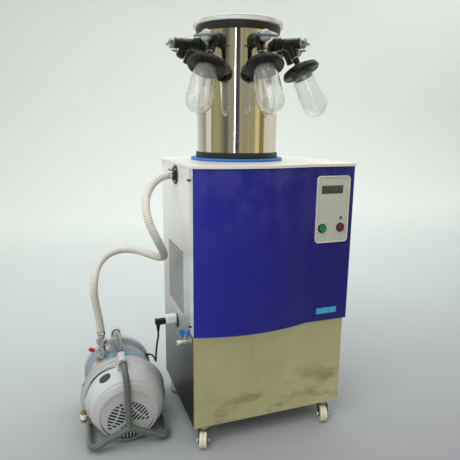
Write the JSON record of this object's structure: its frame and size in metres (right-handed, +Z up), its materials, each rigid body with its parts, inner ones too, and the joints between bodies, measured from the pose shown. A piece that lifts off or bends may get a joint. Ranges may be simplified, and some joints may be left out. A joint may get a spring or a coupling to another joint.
{
  "type": "freeze dryer",
  "caption": "Manifold freeze dryer on casters: steel drum with valves and glass flasks over a cabinet with a cold trap, piped by a ribbed hose to a vacuum pump on the floor.",
  "frame": {"origin": "on the floor, under the centre of the footprint's box, measured without the hose and cord", "axes": "+Z up, +X to the right along the front, +Y to the back; the control panel faces -Y"},
  "size_m": [0.8679, 0.5378, 1.333],
  "materials": {
    "side_metal": "satin",
    "brushed_front": "brushed, smudged near the floor",
    "zinc": "satin",
    "blue_paint": "semi gloss",
    "cream_board": "satin",
    "panel_plastic": "matt",
    "green_cap": "gloss",
    "red_cap": "gloss",
    "compressor_black": "satin",
    "gasket_blue": "satin",
    "black_rubber": "matt",
    "mirror_steel": "mirror polished",
    "clear_acrylic": "clear",
    "lab_glass": "clear",
    "grey_plastic": "satin",
    "fork_black": "satin",
    "wheel_cream": "matt",
    "white_plastic": "gloss",
    "lever_blue": "gloss",
    "lever_red": "gloss",
    "pump_cover": "satin enamel",
    "pump_grey": "satin enamel",
    "frame_grey": "semi gloss",
    "hose_plastic": "ribbed, slightly clear"
  },
  "bodies": {
    "dryer": {"base_pan": "zinc", "left_side_panel": "side_metal", "wrap_panel": "side_metal", "lower_front_panel": "brushed_front", "blue_front_panel": "blue_paint", "top_plate": "cream_board", "control_panel": "panel_plastic", "compressor": "compressor_black", "cold_trap": "zinc", "base_gasket": "gasket_blue", "base_ring": "black_rubber", "drum": "mirror_steel", "top_ring": "black_rubber", "lid": "clear_acrylic", "port_valve_0": "black_rubber", "port_valve_1": "black_rubber", "port_valve_2": "black_rubber", "port_valve_3": "black_rubber", "port_valve_4": "black_rubber", "port_valve_5": "black_rubber", "port_valve_6": "black_rubber", "port_valve_7": "black_rubber", "flask_cap_0": "black_rubber", "flask_0": "lab_glass", "flask_cap_1": "black_rubber", "flask_1": "lab_glass", "flask_cap_7": "black_rubber", "flask_7": "lab_glass", "vacuum_port": "zinc", "power_socket": "white_plastic", "power_plug": "black_rubber", "drain_valve": "zinc", "pump_front_cover": "pump_cover", "pump_body": "pump_grey", "pump_rear_cover": "pump_cover", "pump_frame": "frame_grey", "inlet_valve": "zinc", "vacuum_hose": "hose_plastic", "pump_cord": "black_rubber"},
    "caster_1": {"caster_fork_1": "fork_black"},
    "wheel_1": {"caster_wheel_1": "wheel_cream"},
    "caster_2": {"caster_fork_2": "fork_black"},
    "wheel_2": {"caster_wheel_2": "wheel_cream"},
    "caster_3": {"caster_fork_3": "fork_black"},
    "wheel_3": {"caster_wheel_3": "wheel_cream"},
    "caster_4": {"caster_fork_4": "fork_black"},
    "wheel_4": {"caster_wheel_4": "wheel_cream"},
    "knob_0": {"valve_knob_0": "grey_plastic"},
    "knob_1": {"valve_knob_1": "grey_plastic"},
    "knob_2": {"valve_knob_2": "grey_plastic"},
    "knob_3": {"valve_knob_3": "grey_plastic"},
    "knob_4": {"valve_knob_4": "grey_plastic"},
    "knob_5": {"valve_knob_5": "grey_plastic"},
    "knob_6": {"valve_knob_6": "grey_plastic"},
    "knob_7": {"valve_knob_7": "grey_plastic"},
    "start": {"start_button": "green_cap"},
    "stop": {"stop_button": "red_cap"},
    "drain_handle": {"drain_lever": "lever_blue"},
    "inlet_handle": {"inlet_lever": "lever_red"},
    "ballast": {"ballast_knob": "black_rubber"}
  },
  "joints": [
    {"name": "caster_1_swivel", "type": "hinge", "parent": "dryer", "child": "caster_1", "pos_m": [-0.05871, -0.18812, 0.06], "axis": [0, 0, 1], "continuous": true},
    {"name": "wheel_1_roll", "type": "hinge", "parent": "caster_1", "child": "wheel_1", "pos_m": [-0.06731, -0.21053, 0.025], "axis": [0.9336, -0.3584, 0], "continuous": true},
    {"name": "caster_2_swivel", "type": "hinge", "parent": "dryer", "child": "caster_2", "pos_m": [0.37829, -0.18812, 0.06], "axis": [0, 0, 1], "continuous": true},
    {"name": "wheel_2_roll", "type": "hinge", "parent": "caster_2", "child": "wheel_2", "pos_m": [0.37047, -0.21081, 0.025], "axis": [0.9455, -0.3256, 0], "continuous": true},
    {"name": "caster_3_swivel", "type": "hinge", "parent": "dryer", "child": "caster_3", "pos_m": [-0.05871, 0.15788, 0.06], "axis": [0, 0, 1], "continuous": true},
    {"name": "wheel_3_roll", "type": "hinge", "parent": "caster_3", "child": "wheel_3", "pos_m": [-0.07248, 0.13822, 0.025], "axis": [0.8192, -0.5736, 0], "continuous": true},
    {"name": "caster_4_swivel", "type": "hinge", "parent": "dryer", "child": "caster_4", "pos_m": [0.37829, 0.15788, 0.06], "axis": [0, 0, 1], "continuous": true},
    {"name": "wheel_4_roll", "type": "hinge", "parent": "caster_4", "child": "wheel_4", "pos_m": [0.38328, 0.1344, 0.025], "axis": [0.9781, 0.2079, 0], "continuous": true},
    {"name": "valve_0_turn", "type": "hinge", "parent": "dryer", "child": "knob_0", "pos_m": [0.12729, -0.18512, 1.26], "axis": [0, -1, 0], "range_deg": [0, 180]},
    {"name": "valve_1_turn", "type": "hinge", "parent": "dryer", "child": "knob_1", "pos_m": [-0.02969, -0.1201, 1.26], "axis": [-0.7071, -0.7071, 0], "range_deg": [0, 180]},
    {"name": "valve_2_turn", "type": "hinge", "parent": "dryer", "child": "knob_2", "pos_m": [-0.09471, 0.03688, 1.26], "axis": [-1, 0, 0], "range_deg": [0, 180]},
    {"name": "valve_3_turn", "type": "hinge", "parent": "dryer", "child": "knob_3", "pos_m": [-0.02969, 0.19386, 1.26], "axis": [-0.7071, 0.7071, 0], "range_deg": [0, 180]},
    {"name": "valve_4_turn", "type": "hinge", "parent": "dryer", "child": "knob_4", "pos_m": [0.12729, 0.25888, 1.26], "axis": [0, 1, 0], "range_deg": [0, 180]},
    {"name": "valve_5_turn", "type": "hinge", "parent": "dryer", "child": "knob_5", "pos_m": [0.28426, 0.19386, 1.26], "axis": [0.7071, 0.7071, 0], "range_deg": [0, 180]},
    {"name": "valve_6_turn", "type": "hinge", "parent": "dryer", "child": "knob_6", "pos_m": [0.34929, 0.03688, 1.26], "axis": [1, 0, 0], "range_deg": [0, 180]},
    {"name": "valve_7_turn", "type": "hinge", "parent": "dryer", "child": "knob_7", "pos_m": [0.28426, -0.1201, 1.26], "axis": [0.7071, -0.7071, 0], "range_deg": [0, 180]},
    {"name": "start_press", "type": "slide", "parent": "dryer", "child": "start", "axis": [0, 1, 0], "range_m": [0, 0.003], "stiffness_N_per_m": 400},
    {"name": "stop_press", "type": "slide", "parent": "dryer", "child": "stop", "axis": [0, 1, 0], "range_m": [0, 0.003], "stiffness_N_per_m": 400},
    {"name": "drain_turn", "type": "hinge", "parent": "dryer", "child": "drain_handle", "pos_m": [-0.11671, -0.18812, 0.38], "axis": [0, 0, 1], "range_deg": [0, 90]},
    {"name": "inlet_turn", "type": "hinge", "parent": "dryer", "child": "inlet_handle", "pos_m": [-0.34926, 0.02881, 0.258], "axis": [0.0349, 0.9994, 0], "range_deg": [0, 90]},
    {"name": "ballast_turn", "type": "hinge", "parent": "dryer", "child": "ballast", "pos_m": [-0.41234, -0.00371, 0.165], "axis": [0.9994, -0.0349, 0], "range_deg": [0, 180]}
  ]
}
